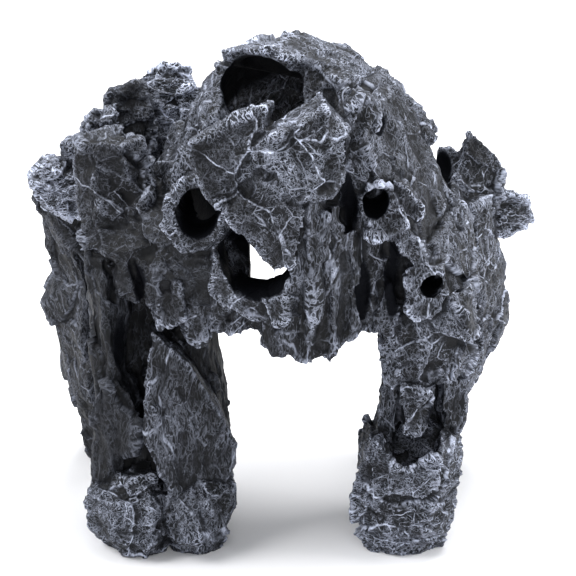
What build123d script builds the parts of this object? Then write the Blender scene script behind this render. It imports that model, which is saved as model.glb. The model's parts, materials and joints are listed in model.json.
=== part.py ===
"""A resin cave ornament: a four-legged rock arch under a hollow crown with a crater, portholes and a window.

Each rock is a casting of its own, made of chiselled boulders (convex polyhedra) and bonded to its neighbours.
Millimetres, +Z up, front towards -Y, origin on the ground at the centre of the footprint.
"""

import os

from build123d import *

# Driving dimensions
PEG_R = 4.0  # locating pegs cast on the legs and feet
PEG_REACH = 9.0  # how far a peg stands into its socket
LEFT_PORT_R = 6.5
RIGHT_PORT_R = 3.9
LOW_PORT_R = 3.4
LEFT_PORT = (-25.0, 109.0)  # x, z of each porthole's axis, which runs along Y
RIGHT_PORT = (24.0, 112.0)
LOW_PORT = (40.0, 86.0)
FRONT = -60.0  # a plane in front of the whole rock, where the portholes' cuts start


def level(z, *corners):
    """A level ring of corners, as (x, y) pairs."""
    return [(x, y, z) for x, y in corners]


def thick(corners, back):
    """A slab's front corners together with the same corners moved back."""
    return corners + [tuple(c + b for c, b in zip(corner, back)) for corner in corners]


def boulder(*rings, mode=Mode.ADD):
    """One chiselled convex rock through all the corners given."""
    ConvexPolyhedron([corner for ring in rings for corner in ring], mode=mode)


def peg(x, y, z, length, radius=PEG_R):
    """An upright locating peg, from z up by length."""
    with Locations((x, y, z)):
        Cylinder(radius, length, align=(Align.CENTER, Align.CENTER, Align.MIN))


def port(centre, radius, start, end, mode=Mode.SUBTRACT):
    """A round passage along Y between two depths."""
    x, z = centre
    with Locations((x, start, z)):
        Cylinder(radius, end - start, rotation=(-90, 0, 0), align=(Align.CENTER, Align.CENTER, Align.MIN),
            mode=mode)


# Front slabs of the crown -------------------------------------------------------------------------------

with BuildPart() as front_slab_left:
    boulder(
        thick(
            [
                (-6, -38, 140), (-10, -42, 131), (-9, -43, 128), (-7, -45, 124), (-15, -47, 116),
                (-19, -46, 113), (-22, -46, 117), (-25, -44, 124), (-28, -42, 128.5), (-27, -41, 131),
                (-23, -40, 133), (-13, -39, 137.5),
            ],
            (2, 9, 0),
        )
    )

with BuildPart() as front_slab_right:
    boulder(
        thick(
            [
                (-9, -43, 131), (-5, -43, 133.5), (1, -42, 135), (9, -37, 139.5), (15, -35, 134),
                (14.5, -44, 119), (13, -46, 117), (5, -50, 116), (-1, -50, 116.5), (-7, -46, 124),
            ],
            (0, 10, 1),
        )
    )

with BuildPart() as middle_slab:
    boulder(
        thick(
            [
                (-7, -47, 124), (-3, -49, 122), (2, -51, 116), (5, -51, 116), (4, -51, 109), (1.5, -51, 101),
                (-1, -50, 98), (-4, -50, 97), (-10, -49, 103.5), (-15, -48, 109), (-17, -47, 113),
                    (-15, -47, 116),
            ],
            (0, 9, 3),
        )
    )

# The fluted curtain that hangs over the arch: four wedge-shaped flutes side by side
with BuildPart() as curtain:
    for ridge, left, right in (
        ([(-2, -44, 82), (-3, -43, 68)], [(-7, -35, 82), (-6, -35, 68)], [(4, -35, 84), (3, -36, 67)]),
        (
            [(6, -51, 116), (7, -46, 92), (6, -43.5, 66)],
            [(1, -38, 114), (2, -35, 70)],
            [(11, -38, 114), (9, -35, 67)],
        ),
        (
            [(12, -47, 114), (13, -43, 92), (12, -41, 65)],
            [(8, -36, 112), (8, -34, 67)],
            [(17, -36, 112), (15, -33, 68)],
        ),
        (
            [(18, -42, 106), (19.5, -39, 90), (18, -38.5, 71)],
            [(14, -34, 108), (14, -33, 71)],
            [(23, -31, 100), (22, -31, 73)],
        ),
    ):
        boulder(ridge, left, right)
    boulder(
        level(112, (2, -40), (18, -38), (18, -30), (2, -30)),
        level(76, (0, -38), (22, -35), (22, -28), (0, -29)),
    )

with BuildPart() as window_sill:
    boulder(
        [(-14, -45, 87), (1, -47, 88), (2, -46, 83), (-3, -45.5, 80.5), (-10, -45, 80), (-17, -42, 84)],
        [(-16, -30, 88), (3, -30, 88), (2, -31, 80), (-14, -31, 80)],
    )
    boulder(
        [(-21, -40, 99), (-17.5, -41, 92), (-14, -44, 87), (-17, -43, 83), (-22, -40, 86)],
        [(-21, -28, 99), (-17, -28, 90), (-14, -28, 83), (-22, -28, 83)],
    )

# The porthole ring at the left, and the root-like spine with the two right-hand portholes ----------------

with BuildPart() as left_porthole_ring:
    boulder(
        [(-34, -35, 113), (-30, -36, 118), (-22, -36, 120), (-16, -36, 114), (-16, -37, 103)],
        [(-21, -38, 98.5), (-29, -38, 98.5), (-35, -36, 104)],
        [(-33, -24, 113), (-22, -24, 120), (-16, -24, 112), (-18, -24, 99), (-32, -24, 99)],
    )
    port(LEFT_PORT, LEFT_PORT_R, FRONT, 0)

with BuildPart() as porthole_spine:
    boulder(
        [(19, -36, 113), (22, -37, 117), (28, -35, 117), (31.5, -34, 112), (30, -36, 105), (24, -37, 103),
            (19, -37, 107)],
        [(19, -26, 113), (24, -26, 118), (32, -24, 112), (29, -26, 103), (20, -26, 105)],
    )
    boulder(
        [(25, -36, 105), (31, -35, 108), (36, -34, 98), (41, -33, 90), (37, -35, 90), (30, -36, 100)],
        [(25, -26, 104), (32, -24, 107), (42, -24, 90), (34, -26, 90)],
    )
    boulder(
        [(33, -35, 91), (38, -35, 93), (45, -33, 91), (46.5, -32, 84), (43, -34, 77), (37, -35, 76),
            (33, -36, 82)],
        [(33, -26, 91), (45, -22, 91), (46, -22, 79), (34, -26, 78)],
    )
    port(RIGHT_PORT, RIGHT_PORT_R, FRONT, 0)
    port(LOW_PORT, LOW_PORT_R, FRONT, 0)

# The crown: a hollow shell open below, with the crater, the window and the portholes cut through its wall -

with BuildPart() as crown_shell:
    boulder(
        level(72, (-24, -30), (0, -37), (24, -33), (42, -24), (52, 0), (49, 26), (30, 42), (-6, 44),
            (-28, 34), (-35, 8)),
        level(100, (-34, -24), (-20, -32), (0, -38), (20, -34), (38, -24), (49, 0), (46, 24), (28, 44),
            (-6, 46), (-28, 36), (-38, 8)),
        level(118, (-31, -20), (-18, -32), (0, -37), (16, -36), (32, -20), (40, -2), (38, 20), (24, 37),
            (-6, 39), (-24, 28), (-32, 4)),
        level(134, (-23, -16), (-14, -25), (0, -31), (17, -33), (26, -18), (32, 4), (28, 20), (4, 32),
            (-14, 24), (-24, 2)),
        level(144, (-20, -10), (-12, -17), (0, -20), (7, -18), (12, 8), (4, 18), (-12, 13)),
    )
    boulder(
        [(-25, -28, 129), (-26, -24, 125), (-15, -24, 139), (-12, -20, 139), (-20, -14, 141)],
        [(-27, -18, 122), (-20, -27, 125)],
    )
    boulder(
        level(60, (-22, -26), (0, -30), (20, -27), (38, -18), (44, 0), (41, 20), (24, 34), (-4, 36),
            (-22, 27), (-28, 6)),
        level(100, (-26, -20), (-16, -25), (0, -30), (16, -27), (34, -16), (41, 0), (38, 18), (22, 36),
            (-4, 38), (-21, 29), (-30, 6)),
        level(118, (-24, -14), (-14, -24), (0, -28), (12, -26), (26, -13), (32, 0), (30, 14), (18, 28),
            (-4, 30), (-17, 21), (-24, 3)),
        level(134, (-17, -10), (-9, -19), (0, -24), (9, -23), (17, -12), (22, 3), (18, 12), (2, 22),
            (-9, 14), (-18, 2)),
        level(147, (-15, -12), (-4, -18), (8, -18), (14, -10), (12, 2), (2, 8), (-10, 4)),
        mode=Mode.SUBTRACT,
    )
    # the crater's mouth, with its slot behind the left slab
    boulder(
        [(-23, -40, 130), (-12, -40, 138), (10, -40, 138), (14, -34, 132), (12, -17, 151), (-15, -14, 151)],
        [(-20, -24, 126), (-10, -22, 118), (10, -22, 118), (12, -18, 128)],
        mode=Mode.SUBTRACT,
    )
    # the window behind the middle slab
    boulder(
        level(88, (-17, -50), (0, -50), (0, -20), (-17, -20)),
        level(106, (-16, -50), (-2, -50), (-2, -20), (-16, -20)),
        mode=Mode.SUBTRACT,
    )
    # the rear mouth of the cave
    boulder(
        level(60, (-20, 20), (20, 20), (20, 60), (-20, 60)),
        level(78, (-16, 20), (14, 20), (14, 60), (-16, 60)),
        level(84, (-8, 20), (6, 20), (6, 60), (-8, 60)),
        mode=Mode.SUBTRACT,
    )
    port(LEFT_PORT, LEFT_PORT_R, FRONT, 0)
    port(RIGHT_PORT, RIGHT_PORT_R, FRONT, 0)
    port(LOW_PORT, LOW_PORT_R, FRONT, 8)

with BuildPart() as roof_slab:
    boulder(
        [(-19, -8, 147.5), (-14, -14, 150), (-4, -18, 151), (1, -21, 148), (12, -19, 145.5), (17, -17, 142)],
        [(-19, -7, 144), (-14, -12, 146), (-4, -16, 147), (1, -19, 144.5), (12, -17, 142), (17, -15, 138)],
        [(3, 5, 149.5), (16, 6, 145), (26, 8, 136.5), (-16, 12, 142), (2, 26, 139), (20, 24, 132),
            (29, 14, 129)],
        [(-15, 10, 138), (2, 22, 134), (20, 20, 128)],
    )
    # hollowed beneath, so that its front lip is thin
    boulder(
        level(130, (-15, -40), (14, -40), (20, 6), (0, 14), (-14, 6)),
        [(-16, -30, 146.5), (13, -30, 141), (12, -4, 143), (2, 0, 145.5), (-12, -2, 145)],
        mode=Mode.SUBTRACT,
    )

with BuildPart() as crown_spur:
    boulder(
        [(28, -8, 128), (26, 6, 136), (34, 8, 130.5), (40, 10, 125.5), (44, 8, 119), (43.5, 5, 117),
            (39, 2, 114)],
        [(30, -10, 119), (36, 20, 120), (24, 20, 128), (28, -6, 112), (34, 8, 112)],
    )

with BuildPart() as saddle_crag:
    boulder(
        [(-33, 6, 122), (-28, 3, 123), (-27, 6, 121), (-38, 4, 112), (-33, -14, 115), (-31, -12, 118)],
        level(100, (-44, -4), (-40, -18), (-33, -20), (-32, 12), (-40, 16)),
    )

# Left side ----------------------------------------------------------------------------------------------

with BuildPart() as left_stump_rim:
    boulder(
        level(122, (-60, -10), (-57, -16), (-47, -18), (-42, -12), (-45, -2), (-56, 0)),
        level(114, (-60, -14), (-55, -20), (-45, -21), (-39, -14), (-42, 0), (-57, 2)),
        level(100, (-58, -18), (-46, -24), (-34, -22), (-36, 0), (-56, 4)),
        level(92, (-58, -20), (-48, -27), (-34, -24), (-36, -2), (-56, 2)),
    )

with BuildPart() as left_stump_outer:
    boulder(
        [(-75, -4, 109), (-74, -7, 103), (-72, -6, 112), (-70, 1, 114), (-75, 3, 106), (-72, 7, 110)],
        [(-60, -6, 109), (-60, 6, 112), (-72, -4, 98), (-60, -8, 96), (-71, 8, 97), (-60, 10, 97)],
    )

with BuildPart() as left_crag:
    boulder(
        [(-60, 4, 122), (-57, 6, 126), (-50, 6, 125), (-48, 2, 121), (-52, 14, 123), (-59, 12, 120)],
        level(100, (-64, 0), (-48, -2), (-46, 14), (-62, 16)),
    )
    boulder(
        [(-66, 2, 117), (-62, 1, 118), (-62, 8, 117), (-66, 8, 114)],
        level(104, (-67, -2), (-60, -2), (-60, 12), (-66, 12)),
    )

with BuildPart() as left_tower:
    boulder(
        [(-54, 15, 127), (-52, 16, 129.5), (-47, 17, 131), (-42, 17, 131), (-41, 14, 126), (-44, 25, 128),
            (-52, 24, 126)],
        level(100, (-56, 10), (-44, 6), (-38, 12), (-40, 30), (-56, 30)),
    )

with BuildPart() as left_back_ridge:
    boulder(
        [(-46, 28, 129), (-44, 30, 131), (-39, 32, 132.5), (-30, 32, 132), (-29, 30, 126), (-38, 38, 127)],
        level(100, (-50, 22), (-28, 18), (-26, 40), (-46, 44)),
    )
    boulder(
        [(-32, 28, 126.5), (-24, 29, 126), (-21, 26, 119), (-24, 36, 122)],
        level(100, (-34, 18), (-20, 18), (-18, 42), (-34, 44)),
    )

with BuildPart() as left_arm_teeth:
    boulder(
        [(-38, -33, 88), (-31, -36, 88), (-29, -34, 76), (-36, -32, 72.5), (-39, -30, 78)],
        [(-38, -22, 88), (-29, -22, 88), (-31, -23, 76)],
    )
    boulder(
        [(-31, -34, 86), (-22, -34, 86), (-24.5, -30, 66), (-28, -30, 67), (-21, -28, 74)],
        [(-33, -20, 86), (-21, -20, 86), (-26, -23, 68)],
    )
    boulder(
        [(-24, -34, 86), (-15, -36, 86), (-15, -31, 74), (-20, -31, 72)],
        [(-26, -16, 86), (-13, -16, 86), (-15, -20, 73), (-20, -20, 72)],
    )
    boulder(
        level(84, (-24, -20), (-12, -20), (-12, 2), (-22, 2)),
        level(76, (-22, -20), (-13, -20), (-12, 0), (-18, 0)),
        [(-15, -4, 59), (-12, -2, 61), (-17, 0, 62)],
    )

with BuildPart() as left_front_leg:
    boulder(
        level(22, (-56, -16), (-38, -18), (-20, -14), (-18, -4), (-30, 4), (-54, 2)),
        level(34, (-56, -14), (-38, -16), (-20, -14), (-18, -5), (-28, 6), (-54, 6)),
        level(62, (-56, -10), (-40, -12), (-26, -14), (-24, -2), (-30, 10), (-56, 10)),
        level(80, (-57, -10), (-38, -12), (-26, -16), (-24, 0), (-32, 14), (-57, 14)),
    )
    boulder(
        level(20, (-58, -27), (-53, -30), (-47, -25), (-50, -10), (-58, -12)),
        level(48, (-56, -27), (-52, -30), (-48, -24), (-50, -6), (-56, -8)),
    )
    boulder(
        level(44, (-56, -27), (-52, -30), (-48, -24), (-50, -6), (-57, -6)),
        level(62, (-57, -26), (-52, -29), (-49, -24), (-50, -6), (-58, -4)),
        level(92, (-58, -24), (-52, -27), (-47, -22), (-48, -2), (-58, -2)),
    )
    peg(-40, 0, 78, PEG_REACH)
    peg(-50, -6, 14, PEG_REACH)

with BuildPart() as left_fin:
    boulder(
        [(-39, -31, 71), (-30, -31, 61), (-23, -29, 50), (-19, -26, 39), (-16, -24, 32), (-16, -24, 26)],
        [(-19, -26, 17), (-22, -29, 12), (-35, -35, 20), (-42, -33, 38), (-41, -32, 58)],
        [(-39, -14, 68), (-27, -14, 54), (-19, -12, 34), (-19, -12, 20), (-38, -14, 20)],
    )

with BuildPart() as left_foot_outer:
    boulder(
        level(0, (-55, -28), (-49, -33), (-42, -35), (-37, -32), (-36, -20), (-44, -10), (-55, -13)),
        level(7, (-60, -30), (-51, -38), (-41, -40), (-35, -34), (-35, -16), (-44, -6), (-59, -12)),
        level(18, (-59, -29), (-50, -37), (-41, -38), (-37, -30), (-37, -12), (-46, -2), (-58, -8)),
        level(25, (-54, -26), (-46, -33), (-40, -31), (-40, -10), (-53, -6)),
    )

with BuildPart() as left_foot_inner:
    boulder(
        level(0, (-35, -31), (-27, -33), (-20, -28), (-20, -16), (-26, -6), (-36, -8)),
        level(8, (-38, -36), (-28, -38), (-18, -31), (-17, -16), (-26, -2), (-38, -6)),
        level(17, (-37, -35), (-26, -36), (-17, -29), (-17, -14), (-28, 0), (-38, -4)),
        level(24, (-36, -30), (-26, -30), (-21, -26), (-22, -10), (-36, -8)),
    )

with BuildPart() as left_rear_leg:
    boulder(
        level(97, (-74, 8), (-66, 0), (-56, 4), (-54, 24), (-62, 34), (-73, 26)),
        level(81, (-73, 12), (-64, 2), (-55, 6), (-53, 28), (-62, 38), (-74, 28)),
        level(69, (-69, 12), (-62, 5), (-54, 8), (-53, 30), (-62, 42), (-70, 34)),
    )
    boulder(
        level(69, (-69, 12), (-62, 5), (-54, 8), (-53, 30), (-62, 42), (-70, 34)),
        level(58, (-74, 20), (-64, 8), (-55, 12), (-54, 34), (-64, 45), (-76, 34)),
        level(31, (-69, 22), (-62, 14), (-54, 18), (-52, 38), (-62, 48), (-71, 38)),
        level(8, (-66, 28), (-60, 24), (-52, 28), (-50, 42), (-59, 51), (-69, 44)),
        level(0, (-64, 30), (-60, 27), (-53, 30), (-51, 41), (-59, 47), (-66, 43)),
    )
    peg(-61, 20, 92, PEG_REACH)

with BuildPart() as left_shoulder:
    boulder(
        level(80, (-46, -30), (-34, -33), (-22, -33), (-18, -28), (-18, -8), (-30, 2), (-56, -4)),
        level(92, (-50, -30), (-34, -36), (-20, -37), (-17, -30), (-18, -8), (-34, 4), (-58, -4)),
        level(100, (-54, -24), (-38, -31), (-24, -36), (-19, -30), (-26, 0), (-56, 2)),
        level(104, (-52, -18), (-38, -26), (-30, -30), (-26, -20), (-28, 0), (-52, 2)),
    )
    boulder(
        level(78, (-57, -2), (-32, -2), (-30, 28), (-50, 32)),
        level(98, (-76, 2), (-58, -4), (-30, -2), (-26, 30), (-50, 38), (-74, 26)),
        level(105, (-70, 4), (-56, -2), (-32, 0), (-30, 26), (-46, 32), (-66, 22)),
    )

# Right side ---------------------------------------------------------------------------------------------

with BuildPart() as right_knob:
    boulder(
        level(98, (45, -2), (49, -3), (52, 2), (50, 6), (46, 5)),
        level(88, (44, -8), (52, -8), (54, 0), (52, 6), (45, 4)),
        level(80, (44, -12), (53, -10), (55, 0), (50, 6), (44, 4)),
    )

with BuildPart() as right_crag:
    boulder(
        [(50, 27, 104), (55, 29, 111.5), (58, 30, 110), (64, 32, 104), (66, 32, 100), (65, 30, 92),
            (58, 38, 104)],
        level(84, (48, 18), (64, 24), (66, 34), (52, 38)),
    )
    boulder(
        [(46, 29, 107), (51, 28, 107), (51, 34, 105), (46, 34, 104)],
        level(88, (42, 22), (54, 20), (54, 36), (42, 36)),
    )

with BuildPart() as right_stub:
    boulder(
        [(63, 28, 93), (65, 30, 92), (74, 32, 90), (76, 34, 87), (76, 34, 81), (70, 32, 77), (64, 28, 77)],
        [(62, 40, 90), (74, 39, 88), (75, 40, 82), (64, 40, 78), (58, 30, 84)],
    )

with BuildPart() as right_rear_leg:
    boulder(
        level(92, (44, 14), (56, 14), (62, 22), (63, 36), (48, 40)),
        level(76, (48, 10), (58, 12), (64, 22), (67, 34), (54, 42), (42, 34)),
        level(64, (52, 10), (60, 13), (66, 24), (69, 34), (56, 44), (42, 34)),
        level(47, (48, 14), (60, 16), (67, 27), (70, 36), (58, 46), (40, 38)),
    )
    boulder(
        level(47, (48, 14), (60, 16), (67, 27), (70, 36), (58, 46), (40, 38)),
        level(35, (46, 18), (58, 20), (62, 30), (64, 36), (54, 47), (38, 40)),
        level(22, (42, 22), (52, 24), (57, 34), (50, 47), (35, 41)),
        level(8, (36, 26), (46, 25), (52, 37), (45, 48), (32, 43)),
        level(0, (37, 29), (45, 28), (50, 37), (43, 45), (34, 42)),
    )

with BuildPart() as right_leg_tooth:
    boulder(
        [(32, -33, 56), (38, -35, 56), (44, -33, 57), (41, -32, 40), (37, -32, 38.5), (33.5, -32, 40)],
        [(33, -24, 56), (43, -24, 56), (40, -27, 40), (35, -27, 40)],
    )

with BuildPart() as right_foot:
    boulder(
        level(0, (25, -31), (31, -34), (39, -33), (46, -29), (46, -14), (36, -6), (26, -10)),
        level(10, (20, -30), (30, -37), (40, -37), (48, -30), (49, -14), (36, -4), (22, -8)),
        level(24, (20, -31), (30, -38), (42, -38), (51, -29), (52, -12), (38, -4), (22, -8)),
        level(33, (23, -32), (30, -37), (41, -37), (50, -29), (51, -12), (38, -6), (24, -8)),
        [(24, -33, 37), (27, -16, 31), (45, -35, 38), (49, -30, 38.5), (49, -16, 34)],
    )
    boulder(
        level(46, (25, -36), (34, -46), (44, -38), (46, -22), (28, -20)),
        level(36, (26, -34), (34, -42), (43, -36), (45, -22), (28, -20)),
        level(22, (30, -29), (38, -30), (41, -24), (32, -22)),
        mode=Mode.SUBTRACT,
    )

with BuildPart() as right_leg_column:
    boulder(
        level(58, (28, -14), (52, -12), (50, 0), (32, 2)),
        level(28, (24, -16), (51, -14), (50, -4), (30, -2)),
    )
    boulder(
        level(56, (29, -26), (33, -27), (35, -14), (29, -12)),
        level(32, (25, -25), (30, -25), (32, -14), (25, -12)),
    )
    boulder(
        level(52, (45, -24), (53, -21), (52, -12), (46, -12)),
        level(34, (46, -23), (52, -20), (52, -12), (46, -12)),
    )
    peg(40, -7, 20, PEG_REACH)
    peg(41, -6, 54, PEG_REACH)

with BuildPart() as right_front_leg:
    boulder(
        level(80, (28, -28), (36, -32), (48, -28), (53, -18), (54, 2), (40, 4), (30, -8)),
        level(72, (26, -31), (38, -34), (50, -30), (54, -20), (54, 0), (40, 4), (28, -8)),
        level(60, (27, -31), (38, -34), (50, -31), (55, -24), (55, -6), (42, 2), (28, -8)),
        level(55, (29, -31), (38, -33), (46, -32), (53, -24), (52, -8), (36, -4)),
    )

with BuildPart() as right_shoulder:
    boulder(
        level(107, (32, -10), (42, 4), (42, 18), (34, 20)),
        level(92, (27, -29), (40, -26), (50, -12), (54, 4), (54, 24), (40, 30), (30, 0)),
        level(76, (25, -31), (40, -32), (50, -26), (56, -10), (58, 14), (52, 30), (40, 32), (28, -4)),
        level(70, (27, -31), (40, -32), (50, -24), (54, -8), (52, 20), (38, 0), (30, -6)),
    )
    port(LOW_PORT, LOW_PORT_R, FRONT, 0)

# Bonding: each casting is ground to fit those before it in this list, and what that cuts loose is chipped off

CASTINGS = {
    "front_slab_right": front_slab_right,
    "middle_slab": middle_slab,
    "front_slab_left": front_slab_left,
    "curtain": curtain,
    "window_sill": window_sill,
    "left_porthole_ring": left_porthole_ring,
    "porthole_spine": porthole_spine,
    "left_arm_teeth": left_arm_teeth,
    "left_fin": left_fin,
    "roof_slab": roof_slab,
    "crown_spur": crown_spur,
    "crown_shell": crown_shell,
    "saddle_crag": saddle_crag,
    "left_stump_rim": left_stump_rim,
    "left_stump_outer": left_stump_outer,
    "left_crag": left_crag,
    "left_tower": left_tower,
    "left_back_ridge": left_back_ridge,
    "left_front_leg": left_front_leg,
    "left_foot_outer": left_foot_outer,
    "left_foot_inner": left_foot_inner,
    "left_rear_leg": left_rear_leg,
    "left_shoulder": left_shoulder,
    "right_knob": right_knob,
    "right_crag": right_crag,
    "right_stub": right_stub,
    "right_leg_tooth": right_leg_tooth,
    "right_leg_column": right_leg_column,
    "right_foot": right_foot,
    "right_front_leg": right_front_leg,
    "right_rear_leg": right_rear_leg,
    "right_shoulder": right_shoulder,
}

def touches(a, b):
    """Whether two parts' boxes meet."""
    low_a, high_a = tuple(a.bounding_box().min), tuple(a.bounding_box().max)
    low_b, high_b = tuple(b.bounding_box().min), tuple(b.bounding_box().max)
    return all(low_a[i] < high_b[i] and low_b[i] < high_a[i] for i in range(3))


os.makedirs("parts", exist_ok=True)
fitted = {}
for name, casting in CASTINGS.items():
    with BuildPart() as ground:
        add(casting.part)
        for neighbour in fitted.values():
            if touches(casting.part, neighbour):
                add(neighbour, mode=Mode.SUBTRACT)
        add(max(ground.part.solids(), key=lambda solid: solid.volume), mode=Mode.REPLACE)
    fitted[name] = ground.part
    ground.part.label = name
    export_step(ground.part, f"parts/{name}.step")
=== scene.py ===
# %% [markdown]
# # A resin cave ornament, rock by rock
# The ornament is a black rock arch on four legs, cast in polyresin and dry-brushed with pale grey paint.
# Each casting here starts from its CAD shape, which is already chiselled to size. The castings are bonded
# into one even mesh, carved, roughened with a noise network, cut apart again and painted. Sculpting by
# code in this order keeps the relief running across the bonds, as on a real casting, while every rock
# stays a piece of its own.

# %% Setting up
import json
import math

import bpy
import numpy as np
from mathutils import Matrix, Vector

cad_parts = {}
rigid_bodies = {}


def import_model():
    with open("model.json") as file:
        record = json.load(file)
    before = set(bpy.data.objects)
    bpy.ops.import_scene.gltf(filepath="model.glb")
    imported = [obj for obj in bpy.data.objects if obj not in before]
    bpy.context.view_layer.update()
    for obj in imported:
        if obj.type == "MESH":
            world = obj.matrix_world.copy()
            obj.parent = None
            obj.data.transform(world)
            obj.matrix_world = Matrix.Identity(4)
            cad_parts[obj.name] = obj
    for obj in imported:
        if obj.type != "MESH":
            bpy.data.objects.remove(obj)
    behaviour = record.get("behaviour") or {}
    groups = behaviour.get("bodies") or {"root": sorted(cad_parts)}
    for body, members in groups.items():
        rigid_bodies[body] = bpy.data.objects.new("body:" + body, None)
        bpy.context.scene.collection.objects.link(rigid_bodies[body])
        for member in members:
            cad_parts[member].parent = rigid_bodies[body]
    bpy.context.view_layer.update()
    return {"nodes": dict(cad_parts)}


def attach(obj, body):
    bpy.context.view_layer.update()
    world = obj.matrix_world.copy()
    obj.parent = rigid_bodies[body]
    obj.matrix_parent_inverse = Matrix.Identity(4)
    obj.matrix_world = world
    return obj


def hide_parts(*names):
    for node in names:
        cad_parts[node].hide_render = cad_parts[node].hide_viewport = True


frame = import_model()
MM = 0.001
VOXEL = 0.6 * MM  # the grid of the finished meshes
NODES = sorted(frame["nodes"])
print(len(NODES), "castings from the frame")

# %% [markdown]
# ## Helpers for work by hand
# An operator acts on all that is selected, so everything is deselected before a piece is picked up. A
# modifier is added and applied in one go, as one does from the modifier panel.


# %% Picking up and finishing a piece
def activate(thing):
    for other in bpy.context.selected_objects:
        other.select_set(False)
    thing.select_set(True)
    bpy.context.view_layer.objects.active = thing


def apply_modifier(thing, kind, **settings):
    """Adds a modifier with these settings and applies it."""
    activate(thing)
    modifier = thing.modifiers.new(kind.title(), kind)
    for name, value in settings.items():
        setattr(modifier, name, value)
    bpy.ops.object.modifier_apply(modifier=modifier.name)


def edit_all(thing, *steps):
    """Selects the whole mesh in edit mode and runs these steps."""
    activate(thing)
    bpy.ops.object.mode_set(mode="EDIT")
    bpy.ops.mesh.select_all(action="SELECT")
    for step in steps:
        step()
    bpy.ops.object.mode_set(mode="OBJECT")


def join(things):
    activate(things[0])
    for thing in things:
        thing.select_set(True)
    bpy.ops.object.join()
    return things[0]


def even(thing, voxel):
    """Turns any mixture of closed shapes into one mesh of even squares."""
    apply_modifier(thing, "REMESH", mode="VOXEL", voxel_size=voxel, use_smooth_shade=True)


# %% [markdown]
# ## Casting blanks
# A blank is a copy of a casting's CAD shape with its doubled corners merged. The real rocks also carry
# lumps that the CAD shape leaves out: the sheet of rock between the flutes of the curtain, the lobes
# round the right porthole, the spurs in the left leg. Each lump is the convex hull of a few corners,
# which gives a chiselled look.


# %% Lumps added to the blanks
def wedge(front, back):
    """A lump's corners: its front ones, and the same ones moved back to the depth given."""
    return front + [(x, back, z) for x, y, z in front]


LUMPS = {
    "curtain": [
        wedge([(3, -49, 112), (11, -47, 112), (18, -42, 106), (20.5, -38, 90), (19, -38, 73), (12, -41, 68),
               (6, -44.5, 67), (-2, -43, 70), (-6, -42, 82), (2, -46, 97), (7, -47.5, 94),
               (14, -43, 92)], -31),
        wedge([(-7, -41, 80), (-2, -43, 82), (-4, -40, 67), (-8, -39, 71)], -32),
    ],
    "porthole_spine": [
        wedge([(17, -36, 106), (24, -39, 102), (33, -37, 105), (31, -37, 110), (20, -38, 110)], -26),
        wedge([(30, -33, 117), (33, -33, 115), (37, -32, 110), (37, -32, 105), (32, -34, 107)], -24),
        wedge([(33, -36, 80), (40, -34, 75), (44, -33, 78), (40, -35, 83)], -24),
    ],
    "crown_shell": [
        wedge([(-19, -18, 78), (-11, -18, 77), (-11, -18, 94), (-19, -18, 94)], -9),
        wedge([(15, -31, 137), (20, -30, 140), (25, -26, 137), (23, -29, 131), (17, -32, 131)], -16),
        wedge([(4, -19, 148), (4, -22, 140), (5, -27, 130), (16, -31, 130), (17, -25, 140),
               (14, -19, 145)], -10),
    ],
    "left_front_leg": [
        wedge([(-52, -27, 55), (-46, -29, 52), (-43, -30, 44), (-44, -31, 32), (-52, -29, 30),
               (-55, -27, 42)], -12),
        wedge([(-54, -27, 36), (-44, -29, 36), (-38, -28, 34), (-38, -27, 22), (-54, -26, 22)], -10),
    ],
    "right_shoulder": [
        wedge([(28, -31, 86), (31, -32, 76), (30, -33, 71), (25, -34, 72), (24, -33, 77)], -22),
    ],
}
print(sum(len(lumps) for lumps in LUMPS.values()), "lumps")

# %% [markdown]
# The relief isn't the same everywhere. The slabs of the crown are cleaner than the feet, the legs and the
# curtain run in upright streaks, and the stumps and the back ridge are layered like slate. Three numbers
# for each casting say so: how craggy it is, how much the pattern is squeezed upright (below 1 it streaks,
# above 1 it layers), and how much paint it took together with painted light and shade. That last number is
# least on the left leg and shoulder, which it darkens as painted shade, and most on the back ridge, the
# outer stump, the right stub and the roof, which it lightens as painted light.

# %% The character of each casting
CRAGGY = {"front_slab_left": 0.5, "front_slab_right": 0.5, "middle_slab": 0.6, "left_fin": 0.45,
          "roof_slab": 0.7, "window_sill": 0.7, "crown_shell": 0.9, "left_porthole_ring": 0.7,
          "porthole_spine": 0.7, "curtain": 0.7, "saddle_crag": 0.6, "left_stump_rim": 1.1}
SQUEEZE = {"curtain": 0.4, "left_front_leg": 0.4, "left_fin": 0.4, "left_rear_leg": 0.45,
           "left_arm_teeth": 0.7, "right_leg_column": 0.4, "right_shoulder": 0.6, "right_rear_leg": 0.8,
           "right_front_leg": 0.8, "porthole_spine": 0.6, "crown_shell": 0.7, "left_foot_outer": 1.2,
           "left_foot_inner": 0.7, "right_foot": 1.3, "left_stump_outer": 2.2, "left_back_ridge": 2.0,
           "right_stub": 2.0, "roof_slab": 1.3}

# How much paint each casting took, and with it painted light and shade: low values darken a casting as
# painted shade, high ones lighten it as painted light.
PAINT_AND_PAINTED_LIGHT = {"left_front_leg": 0.15, "left_shoulder": 0.25, "left_stump_rim": 0.5, "left_rear_leg": 0.35,
           "left_fin": 0.6, "curtain": 0.6, "right_shoulder": 0.7, "left_foot_inner": 0.7,
           "crown_shell": 0.7, "left_tower": 0.5, "left_arm_teeth": 0.6, "middle_slab": 0.85,
           "front_slab_left": 1.1, "right_leg_column": 0.6, "saddle_crag": 0.7, "right_crag": 0.8,
           "right_front_leg": 0.85, "left_back_ridge": 2.0, "left_stump_outer": 1.8, "right_stub": 1.7,
           "roof_slab": 1.4, "front_slab_right": 1.25, "right_rear_leg": 0.85}


# %% Making the blanks
def blank(node):
    """A working copy of a CAD casting, its doubled corners merged."""
    piece = bpy.data.objects.new("blank", frame["nodes"][node].data.copy())
    bpy.context.collection.objects.link(piece)
    edit_all(piece, lambda: bpy.ops.mesh.remove_doubles(threshold=0.02 * MM))
    return piece


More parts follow.
